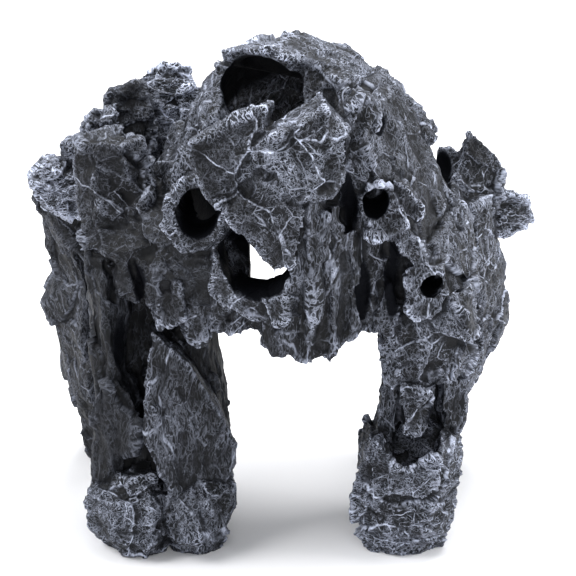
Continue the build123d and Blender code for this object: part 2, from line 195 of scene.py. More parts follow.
def hull(corners):
    """A chiselled lump: the convex hull of corners given in millimetres."""
    mesh = bpy.data.meshes.new("lump")
    mesh.from_pydata([Vector(corner) * MM for corner in corners], [], [])
    lump = bpy.data.objects.new("lump", mesh)
    bpy.context.collection.objects.link(lump)
    edit_all(lump, bpy.ops.mesh.convex_hull)
    return lump


def mark_faces(piece, name, kind, value):
    mark = piece.data.attributes.new(name, kind, "FACE")
    mark.data.foreach_set("value", [value] * len(piece.data.polygons))


blanks = []
for number, node in enumerate(NODES):
    casting = join([blank(node)] + [hull(corners) for corners in LUMPS.get(node, [])])
    mark_faces(casting, "casting", "INT", number)
    mark_faces(casting, "craggy", "FLOAT", CRAGGY.get(node, 1.0))
    mark_faces(casting, "squeeze", "FLOAT", SQUEEZE.get(node, 1.0))
    mark_faces(casting, "painted", "FLOAT", PAINT_AND_PAINTED_LIGHT.get(node, 1.0))
    blanks.append(casting)
bonded = join(blanks)
bonded.name = "bonded"


def copy_of(thing, name):
    copy = thing.copy()
    copy.data = thing.data.copy()
    copy.name = name
    bpy.context.collection.objects.link(copy)
    return copy


print(len(bonded.data.polygons), "faces in the bonded blanks")

# %% [markdown]
# The chiselled corners of the blanks are kept as a cage of bare edges. Later it raises a crisp arris
# along every outward corner and opens a crack along every bond, so the blanks' own lines stay readable
# under the relief.

# %% The cage of arrises
arrises = copy_of(bonded, "arrises")
activate(arrises)
bpy.ops.object.mode_set(mode="EDIT")
bpy.ops.mesh.select_mode(type="EDGE")
bpy.ops.mesh.select_all(action="DESELECT")
bpy.ops.mesh.edges_select_sharp(sharpness=math.radians(16))
bpy.ops.mesh.select_all(action="INVERT")
bpy.ops.mesh.delete(type="EDGE")
bpy.ops.mesh.select_mode(type="VERT")
bpy.ops.object.mode_set(mode="OBJECT")
print(len(arrises.data.edges), "sharp edges kept")

# %% [markdown]
# ## Bonding and hollowing
# A voxel remesh bonds the blanks. Hollows are then cut with stretched spheres and round bores: the
# underside of the crater's thin lip, the round window, the portholes, the cleft beside the right slab,
# the valley below the spine and the cavity in the left leg. A boolean cut leaves the crisp mouth that
# these have.

# %% Hollows, in millimetres
PORTS = {"left": ((-25, 109), (5.8, 7.2)), "right": ((24, 112), (3.7, 4.4)), "low": ((40, 86), (3.0, 3.3))}
EGGS = (
    ((-8, -15, 138.5), (11, 12, 9.6), (0, 0, 0)),  # under the crater's lip
    ((17, -39, 113), (2.6, 5.5, 9.5), (0, 8, 0)),  # the cleft beside the right slab
    ((17, -40, 127), (2.8, 5, 5.5), (0, 20, 0)),  # the smooth hollow above it
    ((29.5, -34, 89), (2.8, 5, 13), (0, -16, 0)),  # the long valley beside the spine
    ((21, -36, 85), (3.5, 4, 9), (0, 0, 0)),  # the dark fold between curtain and valley
    ((27, -24, 131), (4.5, 4, 4), (0, 0, 0)),  # the pocket in the crown's right wall
    ((-46, -31, 66), (4.5, 10, 12), (0, -6, 0)),  # the cavity in the left leg
    ((-42, -33, 85), (1.6, 5, 9), (0, -14, 0)),  # the slot in the left shoulder
    ((-43, 0, 121), (5.5, 5.5, 15), (-45, 13, 0)),  # the smooth valley inside the left peaks
    ((4, -42, 82), (3, 3, 7), (0, 0, 0)),  # the hollow in the curtain
    ((-29, -24, 130), (5, 4, 6), (0, 0, 0)),  # under the ledge left of the crown
    ((47, 20, 103), (4, 9, 7), (0, 0, 0)),  # behind the right knob
    ((22.5, -34, 40), (3, 5, 4), (0, 0, 0)),  # the low side of the right foot's rim
    ((32.5, -35, 42), (2.2, 6, 7), (0, -14, 0)),  # both sides of the right leg's tooth
    ((42.5, -35, 42), (2.2, 6, 7), (0, 14, 0)),
)


def egg(centre, radii, turn):
    """A sphere stretched to three radii in millimetres and turned by degrees."""
    bpy.ops.object.select_all(action="DESELECT")
    bpy.ops.mesh.primitive_ico_sphere_add(subdivisions=4, radius=1, location=Vector(centre) * MM,
                                          rotation=[math.radians(angle) for angle in turn])
    bpy.context.object.scale = Vector(radii) * MM
    bpy.ops.object.transform_apply(location=True, rotation=True, scale=True)
    return bpy.context.object


def bore(centre, radii, start, end):
    """A round cutter along Y between two depths, in millimetres."""
    bpy.ops.object.select_all(action="DESELECT")
    middle = Vector((centre[0], (start + end) / 2, centre[1]))
    bpy.ops.mesh.primitive_cylinder_add(vertices=48, radius=1, depth=2, location=middle * MM,
                                        rotation=(math.radians(90), 0, 0))
    bpy.context.object.scale = Vector((radii[0], radii[1], (end - start) / 2)) * MM
    bpy.ops.object.transform_apply(location=True, rotation=True, scale=True)
    return bpy.context.object


def cut(thing, cutter):
    apply_modifier(thing, "BOOLEAN", operation="DIFFERENCE", solver="MANIFOLD", object=cutter)
    bpy.data.objects.remove(cutter)


rock = copy_of(bonded, "rock")
even(rock, VOXEL)
for centre, radii, turn in EGGS:
    cut(rock, egg(centre, radii, turn))
for centre, radii in PORTS.values():
    cut(rock, bore(centre, radii, -60, 0))
cut(rock, bore((-8, 97), (10, 10.5), -46.5, -18.5))
print(len(rock.data.polygons), "faces in the hollowed rock")


# %% Reading and writing meshes as arrays
def places_of(piece):
    places = np.empty(len(piece.data.vertices) * 3, np.float32)
    piece.data.vertices.foreach_get("co", places)
    return places.reshape(-1, 3)


def normals_of(piece):
    normals = np.empty(len(piece.data.vertices) * 3, np.float32)
    piece.data.vertices.foreach_get("normal", normals)
    return normals.reshape(-1, 3)


def store(piece, name, values):
    attribute = piece.data.attributes.get(name) or piece.data.attributes.new(name, "FLOAT", "POINT")
    attribute.data.foreach_set("value", values.astype(np.float32))


def keep_outer_skin(thing):
    """Deletes what isn't joined to the topmost point, such as bubbles inside."""
    top = int(places_of(thing)[:, 2].argmax())
    activate(thing)
    bpy.ops.object.mode_set(mode="EDIT")
    bpy.ops.mesh.select_all(action="DESELECT")
    bpy.ops.object.mode_set(mode="OBJECT")
    thing.data.vertices[top].select = True
    bpy.ops.object.mode_set(mode="EDIT")
    bpy.ops.mesh.select_linked()
    bpy.ops.mesh.select_all(action="INVERT")
    bpy.ops.mesh.delete(type="VERT")
    bpy.ops.object.mode_set(mode="OBJECT")


def height_over_smooth(piece, passes):
    """How far each vertex stands over the same piece sanded smooth, in millimetres: a measure of ridges."""
    modifier = piece.modifiers.new("Sanded", "SMOOTH")
    modifier.factor = 0.9
    modifier.iterations = max(1, round(passes * (0.6 * MM / VOXEL) ** 2))
    sanded = piece.evaluated_get(bpy.context.evaluated_depsgraph_get())
    places = np.empty(len(sanded.data.vertices) * 3, np.float32)
    sanded.data.vertices.foreach_get("co", places)
    piece.modifiers.remove(modifier)
    return ((places_of(piece) - places.reshape(-1, 3)) * normals_of(piece)).sum(1) / MM


keep_outer_skin(rock)
even(rock, VOXEL)
print(len(rock.data.polygons), "faces in the outer skin")

# %% [markdown]
# ## Sculpting strokes
# A sculptor would now draw ridges and cracks with a brush. A stroke here is a line of points seen from
# the front, as x and height in millimetres, and it is pressed onto the first rock behind it. Its width
# and height make it a ridge, or a groove if the height is below zero. Only the lines that give a rock its
# character are drawn. The arrises and the noise do the rest.

# %% The strokes: name, width, height, points
STROKES = (
    # the lines on the slabs join corners of their castings
    ("left slab's crease", 1.5, 1.3, [(-13, 137.5), (-19, 113)]),
    ("left slab's groove", 1.7, -1.2, [(-23, 133), (-15, 116)]),
    ("left slab's inner edge", 1.4, 1.0, [(-10, 131), (-9, 128), (-7, 124)]),
    ("crack under the left slab", 1.3, -1.7, [(-7, 124), (-15, 116)]),
    ("crack under the right slab", 1.2, -1.4, [(-7, 124), (-3, 122), (2, 116), (5, 116)]),
    ("right slab's crease", 1.6, 1.3, [(9, 139.5), (13, 117)]),
    ("right slab's groove", 2.0, -1.0, [(1, 135), (5, 116)]),
    ("right slab's outer edge", 2.0, 2.2, [(14, 133), (13.5, 120), (12, 118), (5, 117)]),
    ("right slab's top edge", 1.6, 1.5, [(-4, 132.5), (1, 134), (9, 138)]),
    ("left slab's top edge", 1.6, 1.6, [(-26, 130), (-22, 132), (-13, 136.5), (-7, 139)]),
    ("left slab's outer edge", 1.8, 1.6, [(-19.5, 115), (-21.5, 118), (-24, 124), (-26.5, 128)]),
    ("stump's rim", 2.0, 1.8, [(-58, 121), (-54, 123), (-49, 123), (-46, 118), (-42, 115)]),
    ("hollow under the stump's rim", 3.5, -2.0, [(-54, 116), (-48, 112), (-44, 107)]),
    ("ridge beside the hollow", 1.5, 1.4, [(21, 134), (19, 129), (24, 121), (25, 117)]),
    ("right wall's long ridge", 1.6, 1.4, [(26, 134), (29, 127), (33, 121), (38, 112)]),
    ("curtain's first groove", 2.2, -1.8, [(4, 92), (3, 80), (4, 71)]),
    ("curtain's second groove", 2.2, -1.8, [(10, 98), (10, 84), (10, 71)]),
    ("curtain's third groove", 2.0, -1.5, [(16, 98), (16, 84), (15, 72)]),
    ("curtain's first flute", 2.6, 1.6, [(1, 101), (1, 90), (-2, 80)]),
    ("curtain's second flute", 2.6, 1.4, [(14, 101), (12, 88), (13, 73)]),
    ("curtain's last flute", 2.4, 1.4, [(18, 96), (20, 88), (18, 76)]),
    ("collar's lobe", 1.4, 1.2, [(18, 106), (24, 103), (32, 106), (31, 110)]),
    ("petal beside the porthole", 1.5, 1.2, [(30, 117), (34, 114), (37, 107)]),
    ("spine's left edge", 1.3, 1.1, [(31, 101), (32, 90), (37, 82)]),
    ("spine's right edge", 1.3, 1.1, [(35, 101), (38, 97), (42, 92), (43, 87)]),
    ("peak's left edge", 1.5, 1.3, [(28, 86), (25, 79), (25, 73)]),
    ("peak's right edge", 1.5, 1.3, [(28, 86), (31, 77), (33, 72)]),
    ("shoulder's edge", 1.8, 1.4, [(49, 91), (52, 83), (50, 76), (52, 68), (51, 63)]),
    ("shoulder's facet", 1.4, 1.0, [(52, 82), (46, 80), (50, 74)]),
    ("leg block's lower edge", 1.5, 1.3, [(28, 58), (32, 60), (33, 56), (38, 54), (44, 57), (50, 56)]),
    ("flake in the right foot", 1.5, 1.0, [(33, 33), (33, 22), (34, 8)]),
    ("left porthole's lower ridge", 1.4, 1.2, [(-35, 105), (-30, 99), (-23, 100), (-18, 104)]),
    ("shoulder's pale ridge", 1.6, 1.4, [(-62, 92), (-54, 94), (-45, 95), (-38, 98)]),
    ("hollow under it", 4.0, -2.0, [(-58, 88), (-50, 90)]),
    ("left column's ridge", 1.8, 1.6, [(-53, 91), (-53, 78), (-52, 64), (-49, 54)]),
    ("left column's groove", 3.0, -1.6, [(-57, 84), (-57, 68), (-54, 52), (-52, 40)]),
    ("arm's facet, top", 1.4, 1.1, [(-39, 91), (-36, 93), (-30, 86)]),
    ("arm's facet, side", 1.4, 1.1, [(-37, 91), (-36, 80)]),
    ("fin's long edge", 1.4, 1.3, [(-37, 69), (-30, 61), (-23, 50), (-20, 40)]),
    ("hook on the fin", 1.4, 1.7, [(-40, 56), (-42, 51), (-38, 47), (-38, 43)]),
    ("fin's inner ridge", 1.5, 1.0, [(-32, 52), (-29, 45), (-27, 38)]),
    ("fin's groove", 3.0, -1.5, [(-31, 38), (-31, 24)]),
    ("fin's front groove", 2.5, -1.3, [(-36, 60), (-37, 46), (-37, 30)]),
    ("flake by the inner foot", 1.4, 1.2, [(-19, 38), (-24, 37), (-25, 31), (-26, 23), (-23, 14)]),
    ("seam between the feet", 2.5, -2.0, [(-37, 24), (-37, 12), (-36, 2)]),
    ("outer foot's edge", 1.5, 1.2, [(-47, 26), (-42, 28), (-38, 22), (-37, 12)]),
)


def press(points):
    """Lays points of the front view on the rock: each goes back along Y to the first face it meets."""
    laid = []
    for x, z in points:
        hit, place, _, _ = rock.ray_cast(Vector((x, -90, z)) * MM, (0, 1, 0))
        if hit:
            laid.append(place / MM)
    return np.array(laid)


def stroke(places, facing, points, width, height):
    """How far one stroke lifts each vertex, in millimetres."""
    line = press(points)
    low, high = line.min(0) - (width, 6, width), line.max(0) + (width, 6, width)
    maybe = np.flatnonzero(((places > low) & (places < high)).all(1) & facing)
    spot = places[maybe]
    near = np.full(len(maybe), 1e9)
    for start, end in zip(line[:-1], line[1:]):
        along = end - start
        flat = along[[0, 2]]
        share = np.clip(((spot - start)[:, [0, 2]] @ flat) / (flat @ flat), 0, 1)
        gap = spot - start - share[:, None] * along
        near = np.minimum(near, np.where(np.abs(gap[:, 1]) < 6, np.hypot(gap[:, 0], gap[:, 2]), 1e9))
    lift = np.zeros(len(places))
    lift[maybe] = height * np.clip(1 - near / width, 0, 1) ** (1.3 if height > 0 else 1.0)
    return lift


normals = normals_of(rock).astype(float)
places = places_of(rock).astype(float) / MM
facing = normals[:, 1] < -0.1
lift = sum(stroke(places, facing, points, width, height) for name, width, height, points in STROKES)
rock.data.vertices.foreach_set("co", ((places + normals * lift[:, None]) * MM).astype(np.float32).ravel())
rock.data.update()
even(rock, VOXEL)
print(len(STROKES), "strokes, lifting up to", round(float(lift.max()), 2), "mm")

# %% [markdown]
# ## Calm places
# The bores, the window and the hollows of the real casting are smooth and dark, because the mould's cores
# shaped them and the paint brush never reached them. A number from 0 to 1 at each vertex says how calm it
# is, and the relief and the paint both read it.

# %% How calm each vertex is
CALM_EGGS = [egg_line[:2] for egg_line in EGGS] + [
    ((-8, -34, 97), (10.8, 24, 11.3)),  # the window
    ((0, -4, 128), (22, 22, 26)),  # inside the crater
    ((0, 4, 84), (38, 34, 36)),  # inside the crown
]


def calmness(places, normals):
    calm = np.zeros(len(places))
    for centre, radii in CALM_EGGS:
        reach = np.sqrt((((places - centre) / radii) ** 2).sum(1))
        inward = ((places - centre) * normals).sum(1) < 0
        calm = np.maximum(calm, np.clip((1.12 - reach) / 0.12, 0, 1) * inward)
    for (x, z), (wide, tall) in PORTS.values():
        reach = np.hypot((places[:, 0] - x) / wide, (places[:, 2] - z) / tall)
        calm = np.maximum(calm, np.clip((1.12 - reach) / 0.12, 0, 1) * (places[:, 1] < 0))
    return calm


store(rock, "calm", calmness(places_of(rock) / MM, normals_of(rock)))
store(rock, "corner", height_over_smooth(rock, 40))

# %% [markdown]
# ## Nodes
# One small function adds any node with its settings and its inputs, and a value may be a number, another
# node or one of its sockets. It serves the relief, which is a geometry network, and the paint, which is a
# shader network. The settings that come back again and again get a short name here.


# %% Adding nodes
FADE = {"interpolation_type": "SMOOTHSTEP"}
OPERATIONS = ("ADD", "SUBTRACT", "MULTIPLY", "MULTIPLY_ADD", "POWER", "MAXIMUM", "SCALE")
PLUS, MINUS, TIMES, TIMES_PLUS, POWER, LARGER, SCALED = [{"operation": name} for name in OPERATIONS]


def add(tree, kind, *values, **named):
    """One node: values fill its inputs in order, capital names by name, and the rest are settings."""
    node = tree.nodes.new(kind if "Node" in kind else "ShaderNode" + kind)
    for name in [name for name in named if name[0].islower()]:
        setattr(node, name, named.pop(name))
    filled = list(zip(node.inputs, values))
    filled += [(node.inputs[name.replace("_", " ")], value) for name, value in named.items()]
    for socket, value in filled:
        if isinstance(value, bpy.types.Node):
            value = value.outputs[0]
        if isinstance(value, bpy.types.NodeSocket):
            tree.links.new(value, socket)
        else:
            socket.default_value = value
    return node


print(len(OPERATIONS), "named operations")

# %% [markdown]
# Two patterns are made of such nodes. Crests are the thin lines where smooth noise crosses its middle,
# which look like wrinkles. Warping pushes the places about first, so that a pattern bends.


# %% Crests and warping
def crests(tree, value, sharp):
    """Thin lines where noise crosses its middle: 1 on the line, falling to 0 beside it."""
    off = add(tree, "Math", add(tree, "Math", value, 0.5, **MINUS), operation="ABSOLUTE")
    return add(tree, "Math", 1.0, add(tree, "Math", off, sharp, **TIMES), use_clamp=True, **MINUS)


def warped(tree, place, size_mm, amount_mm):
    """Places pushed about by up to an amount, in bends of a size."""
    colour = add(tree, "TexNoise", Vector=place, Scale=1 / (size_mm * MM)).outputs["Color"]
    push = add(tree, "VectorMath", colour, (0.5, 0.5, 0.5), **MINUS)
    push = add(tree, "VectorMath", push, Scale=2 * amount_mm * MM, **SCALED)
    return add(tree, "VectorMath", place, push, **PLUS)


# %% [markdown]
# Rock wrinkles are the same lines in the relief and in the paint, because paint catches on what stands
# out. So both networks call these functions with the same places, and a brushed line runs along its own
# little ridge.

# %% Wrinkles and chips shared by relief and paint
CHIPS = ((18.0, 0.11), (7.5, 0.15), (3.2, 0.10))  # how wide the chipped cells are in mm, and how steep


def folds(tree, place):
    """Noise whose middle makes the folds, about 8 mm apart."""
    return add(tree, "TexNoise", Vector=warped(tree, place, 5, 2.0), Scale=1 / (8 * MM), Roughness=0.55)


def wrinkles(tree, place):
    """Noise whose middle makes the wrinkles, about 3 mm apart."""
    bent = warped(tree, place, 4, 1.2)
    return add(tree, "TexNoise", Vector=bent, Scale=1 / (3.2 * MM), Detail=3, Roughness=0.62)


def chipped(tree, place):
    """Places bent a little, so that the borders of chipped cells wander as real breaks do."""
    return warped(tree, warped(tree, place, 9, 1.8), 2.4, 0.4)


def chip_edges(tree, bent, size_mm, width_mm):
    """Thin lines along the borders of the chips: 1 on the line, falling to 0 at the width given."""
    edge = add(tree, "TexVoronoi", Vector=bent, Scale=1 / (size_mm * MM), feature="DISTANCE_TO_EDGE")
    share = width_mm / size_mm
    return add(tree, "MapRange", edge.outputs["Distance"], 0.2 * share, share, 1.0, 0.0, **FADE)


def facets(tree, bent, size_mm, slope):
    """Chipped faces: cells of rock, each tilted its own way, as a height in millimetres."""
    cells = add(tree, "TexVoronoi", Vector=bent, Scale=1 / (size_mm * MM))
    tilt = add(tree, "VectorMath", cells.outputs["Color"], (0.5, 0.5, 0.5), **MINUS)
    away = add(tree, "VectorMath", bent, cells.outputs["Position"], **MINUS)
    dot = add(tree, "VectorMath", tilt, away, operation="DOT_PRODUCT")
    return add(tree, "Math", dot.outputs["Value"], 2 * slope / MM, **TIMES)


print(len(CHIPS), "sizes of chip:", [size_mm for size_mm, slope in CHIPS], "mm")

# %% [markdown]
# ## Relief
# The relief is shape and not only shading, because it moves the real mesh. Its height is a sum: broad
# lumps and crags, then folds and wrinkles, then chipped faces. The sum is lowered by its mean, so that
# the rock keeps its size, and each casting takes as much of it as it is craggy.

# %% The rock's own relief
LUMP_MM, CRAG_MM, FOLD_MM, WRINKLE_MM, MEAN_MM = 2.0, 0.7, 0.35, 0.2, 0.4


def relief_height(tree, place, craggy):
    """How far the rock stands out at each place, in millimetres."""
    bent = warped(tree, place, 16, 4)
    broad = add(tree, "TexNoise", Vector=bent, Scale=1 / (22 * MM), Detail=1)
    height = add(tree, "Math", add(tree, "Math", broad, 0.5, **MINUS), LUMP_MM, **TIMES)
    crags = crests(tree, add(tree, "TexNoise", Vector=bent, Scale=1 / (16 * MM)), 3.4)
    height = add(tree, "Math", add(tree, "Math", crags, 2.0, **POWER), CRAG_MM, height, **TIMES_PLUS)
    folded = add(tree, "Math", crests(tree, folds(tree, place), 4.5), 1.6, **POWER)
    height = add(tree, "Math", folded, FOLD_MM, height, **TIMES_PLUS)
    wrinkled = add(tree, "Math", crests(tree, wrinkles(tree, place), 5.5), 1.4, **POWER)
    patch = add(tree, "TexNoise", Vector=place, Scale=1 / (20 * MM), Detail=1)
    patch = add(tree, "MapRange", patch, 0.38, 0.62, 0.35, 1.0, **FADE)
    wrinkled = add(tree, "Math", wrinkled, patch, **TIMES)
    height = add(tree, "Math", wrinkled, WRINKLE_MM, height, **TIMES_PLUS)
    broken = chipped(tree, place)
    for size_mm, slope in CHIPS:
        height = add(tree, "Math", height, facets(tree, broken, size_mm, slope), **PLUS)
    height = add(tree, "Math", height, MEAN_MM, **MINUS)
    return add(tree, "Math", height, craggy, **TIMES)


# %% [markdown]
# The arrises are worked by their distance to the cage of sharp edges. On an outward corner the rock rises
# to a crisp arris, and along a flush bond or an inward corner it sinks to a crack.

# %% Arrises and cracks
ARRIS_MM, CRACK_MM, REACH_MM = 0.5, 0.7, 1.4


def arris_height(tree, gap):
    """How far an arris rises or a crack sinks, in millimetres, at a gap from the nearest sharp edge."""
    corner = add(tree, "GeometryNodeInputNamedAttribute", "corner", data_type="FLOAT")
    rise = add(tree, "MapRange", corner, 0.02, 0.3, -CRACK_MM, ARRIS_MM, **FADE)
    near = add(tree, "Math", gap, REACH_MM, operation="DIVIDE")
    near = add(tree, "Math", 1.0, near, use_clamp=True, **MINUS)
    return add(tree, "Math", add(tree, "Math", near, 1.4, **POWER), rise, **TIMES)


# %% [markdown]
# The network first keeps what the paint needs at each vertex: the squeezed pattern place, the gap to the
# nearest arris, and the casting's cragginess and its paint number, which also holds painted light and
# shade, read from the nearest face of the blanks. It tells each face its casting, and then moves the
# vertices. Calm places hardly move.

# %% The relief network
SHAKES = ((12, 1.6), (4, 0.4))  # size and amount in mm of the bends that take out the blanks' straightness


def from_blanks(tree, mesh, name, kind):
    """An attribute of the nearest face of the blanks."""
    wanted = add(tree, "GeometryNodeInputNamedAttribute", name, data_type=kind)
    return add(tree, "GeometryNodeSampleNearestSurface", Mesh=mesh, Value=wanted, data_type=kind)


def keep_attributes(tree, rock_in, place, mesh, gap):
    """Stores on each vertex what the relief and the paint read later."""
    squeeze = add(tree, "CombineXYZ", 1.0, 1.0, from_blanks(tree, mesh, "squeeze", "FLOAT"))
    pattern = add(tree, "VectorMath", place, squeeze, **TIMES)
    kept = add(tree, "GeometryNodeStoreNamedAttribute", Geometry=rock_in, Name="pattern", Value=pattern,
               data_type="FLOAT_VECTOR")
    kept = add(tree, "GeometryNodeStoreNamedAttribute", Geometry=kept, Name="arris", Value=gap)
    for name in ("painted", "craggy"):
        kept = add(tree, "GeometryNodeStoreNamedAttribute", Geometry=kept, Name=name,
                   Value=from_blanks(tree, mesh, name, "FLOAT"))
    casting = from_blanks(tree, mesh, "casting", "INT")
    return add(tree, "GeometryNodeSetMaterialIndex", Geometry=kept, Material_Index=casting)


def lifted(tree, place, gap):
    """How each vertex moves: along its normal by the relief, and sideways by the shakes."""
    calm = add(tree, "GeometryNodeInputNamedAttribute", "calm", data_type="FLOAT")
    pattern = add(tree, "GeometryNodeInputNamedAttribute", "pattern", data_type="FLOAT_VECTOR")
    craggy = add(tree, "GeometryNodeInputNamedAttribute", "craggy", data_type="FLOAT")
    lively = add(tree, "Math", 1.0, add(tree, "Math", calm, 0.85, **TIMES), **MINUS)
    height = add(tree, "Math", relief_height(tree, pattern, craggy), arris_height(tree, gap), **PLUS)
    height = add(tree, "Math", add(tree, "Math", height, lively, **TIMES), MM, **TIMES)
    push = add(tree, "VectorMath", add(tree, "GeometryNodeInputNormal"), Scale=height, **SCALED)
    for size_mm, amount_mm in SHAKES:
        shake = add(tree, "VectorMath", warped(tree, place, size_mm, amount_mm), place, **MINUS)
        shake = add(tree, "VectorMath", shake, Scale=lively, **SCALED)
        push = add(tree, "VectorMath", push, shake, **PLUS)
    return push


def relief_network():
    tree = bpy.data.node_groups.new("Rock relief", "GeometryNodeTree")
    tree.interface.new_socket("Geometry", in_out="INPUT", socket_type="NodeSocketGeometry")
    tree.interface.new_socket("Geometry", in_out="OUTPUT", socket_type="NodeSocketGeometry")
    place = add(tree, "GeometryNodeInputPosition")
    mesh = add(tree, "GeometryNodeObjectInfo", bonded).outputs["Geometry"]
    cage = add(tree, "GeometryNodeObjectInfo", arrises).outputs["Geometry"]
    gap = add(tree, "GeometryNodeProximity", cage, target_element="EDGES").outputs["Distance"]
    gap = add(tree, "Math", gap, MM, operation="DIVIDE")
    kept = keep_attributes(tree, add(tree, "NodeGroupInput"), place, mesh, gap)
    moved = add(tree, "GeometryNodeSetPosition", Geometry=kept, Offset=lifted(tree, place, gap))
    add(tree, "NodeGroupOutput", moved)
    return tree


# %% [markdown]
# Marker materials, one for each casting, tell the faces apart, and separating by material then gives each
# casting its own piece back. Two heights over the sanded shape are kept for the paint: over a light
# sanding for the fine crests, and over a heavy one for whole ridges and hollows.

# %% Applying the relief and cutting the castings apart
rock.data.materials.clear()
for number in range(len(NODES)):
    rock.data.materials.append(bpy.data.materials.new(f"casting_{number:02d}"))
modifier = rock.modifiers.new("Relief", "NODES")
modifier.node_group = relief_network()
activate(rock)
bpy.ops.object.modifier_apply(modifier=modifier.name)
flat = places_of(rock)
print(f"feet ground flat, {-flat[:, 2].min() / MM:.1f} mm at most")
flat[:, 2] = np.maximum(flat[:, 2], 0)
rock.data.vertices.foreach_set("co", flat.ravel())
rock.data.update()
store(rock, "crest", height_over_smooth(rock, 4))
store(rock, "ridge", height_over_smooth(rock, 60))
edit_all(rock, lambda: bpy.ops.mesh.separate(type="MATERIAL"))
pieces = {}
for piece in [thing for thing in bpy.data.objects if thing.name.startswith("rock")]:
    marker = piece.data.materials[piece.data.polygons[0].material_index].name
    node = NODES[int(marker.split("_")[1])]
    pieces[node] = piece
    piece.name = node + "_rock"
bpy.data.objects.remove(bonded)
bpy.data.objects.remove(arrises)
print({node: len(piece.data.polygons) for node, piece in pieces.items()})
print("missing", [node for node in NODES if node not in pieces])


# %% [markdown]
# ## Paint
# The castings are charcoal polyresin, moulded, with a satin skin: nearly black, a little blue, and with a
# soft sheen where it is bare. Pale grey acrylic is dry-brushed over it, so it sits on crests, arrises and
# wrinkles and never in the hollows. The patterns are sized in millimetres, and the finest threads, which
# are really about 0.1 mm wide, are drawn about twice as wide so that they show.


# %% Colours
def linear(hex_colour):
    """An sRGB hex colour as the linear values that shaders take."""
    values = [int(hex_colour[i:i + 2], 16) / 255 for i in (1, 3, 5)]
    return (*[v / 12.92 if v <= 0.04045 else ((v + 0.055) / 1.055) ** 2.4 for v in values], 1.0)


BLACK, CHARCOAL = linear("#050608"), linear("#0f1014")  # the resin's own two tones
WORN, DUST = linear("#20232a"), linear("#2e323c")  # where ridges are rubbed, and where dusting settled
SHADE_IN_HOLLOWS, CALM = linear("#0c0d10"), linear("#111216")  # painted shade in the hollows, and calm places where no paint reached
PALE = linear("#d8e0f6")  # the brushed acrylic
print("brushed acrylic in linear values:", [round(value, 2) for value in PALE])

# %% [markdown]
# A dry brush leaves lines and not areas. It catches on arrises, with a tangle of threads beside them and
# on the tops of ridges, on the borders of chips, on wrinkles, and in patches on a fine crinkle all over.
# Each kind is drawn from 0 to 1, and the strongest one counts. The gaps break the lines, as a brush that
# runs dry does.


# %% The brushed lines
def brushed_lines(tree, place, patch, busy):
    """How much paint the lines hold at each place, from 0 to 1."""
    gaps = add(tree, "TexNoise", Vector=place, Scale=1 / (4 * MM), Detail=3, Roughness=0.7)
    gaps = add(tree, "MapRange", gaps, 0.4, 0.58, 0.1, 1.0, **FADE)
    curled = warped(tree, place, 2.0, 0.7)
    coarse = add(tree, "TexNoise", Vector=curled, Scale=1 / (1.9 * MM), Roughness=0.6)
    coarse = crests(tree, coarse, 26.0)
    fine = add(tree, "TexNoise", Vector=curled, Scale=1 / (0.95 * MM), Detail=1, Roughness=0.6)
    fine = crests(tree, fine, 16.0)
    threads = add(tree, "Math", coarse, fine, **LARGER)

    gap = add(tree, "Attribute", attribute_name="arris").outputs["Fac"]
    arris = add(tree, "Math", add(tree, "MapRange", gap, 0.05, 0.3, 1.0, 0.0, **FADE), gaps, **TIMES)
    arris = add(tree, "Math", arris, add(tree, "Math", threads, 0.4, **LARGER), **TIMES)
    beside = add(tree, "Math", add(tree, "MapRange", gap, 0.3, 1.6, 0.55, 0.0, **FADE), gaps, **TIMES)
    ridge = add(tree, "Attribute", attribute_name="ridge").outputs["Fac"]
    on_top = add(tree, "MapRange", ridge, 0.5, 1.6, 0.0, 0.95, **FADE)
    tangle = add(tree, "Math", threads, add(tree, "Math", beside, on_top, **LARGER), **TIMES)

    bent = chipped(tree, place)
    often = add(tree, "Math", gaps, 0.8, **TIMES)
    wide_chips = add(tree, "Math", chip_edges(tree, bent, CHIPS[0][0], 0.28), often, **TIMES)
    small_chips = add(tree, "Math", chip_edges(tree, bent, CHIPS[1][0], 0.22), busy, **TIMES)
    small_chips = add(tree, "Math", small_chips, often, **TIMES)
    wrinkle = crests(tree, wrinkles(tree, place), 40.0)
    wrinkle = add(tree, "Math", wrinkle, add(tree, "Math", busy, 0.5, **TIMES), **TIMES)
    crinkle = add(tree, "Math", coarse, add(tree, "Math", patch, 0.4, 0.08, **TIMES_PLUS), **TIMES)
    finer = add(tree, "Math", fine, add(tree, "Math", patch, 0.24, 0.02, **TIMES_PLUS), **TIMES)

    lines = arris
    for others in (tangle, wide_chips, small_chips, wrinkle, crinkle, finer):
        lines = add(tree, "Math", lines, others, **LARGER)
    return lines


# %% [markdown]
# Under the lines, the bare resin varies in patches of about 7 mm. It is rubbed paler on whole ridges and
# dusted in speckles, and it is painted darker in hollows as painted shade. This is what makes a rock look
# deep before a single bright line is drawn.


# %% The bare resin
def bare_resin(tree, place, ridge, dust_and_painted_light):
    """The colour under the brushed lines, with painted shade in the hollows."""
    tone = add(tree, "TexNoise", Vector=place, Scale=1 / (7 * MM), Detail=4, Roughness=0.65)
    tone = add(tree, "MapRange", tone, 0.35, 0.65, 0.0, 1.0, **FADE)
    base = add(tree, "MixRGB", tone, BLACK, CHARCOAL)
    base = add(tree, "MixRGB", add(tree, "MapRange", ridge, 0.2, 1.6, 0.0, 0.4, **FADE), base, WORN)
    base = add(tree, "MixRGB", dust_and_painted_light, base, DUST)
    # Painted shade: the resin is darkened in hollows, the more the deeper the hollow.
    return add(tree, "MixRGB", add(tree, "MapRange", ridge, -0.1, -1.2, 0.0, 0.7, **FADE), base, SHADE_IN_HOLLOWS)


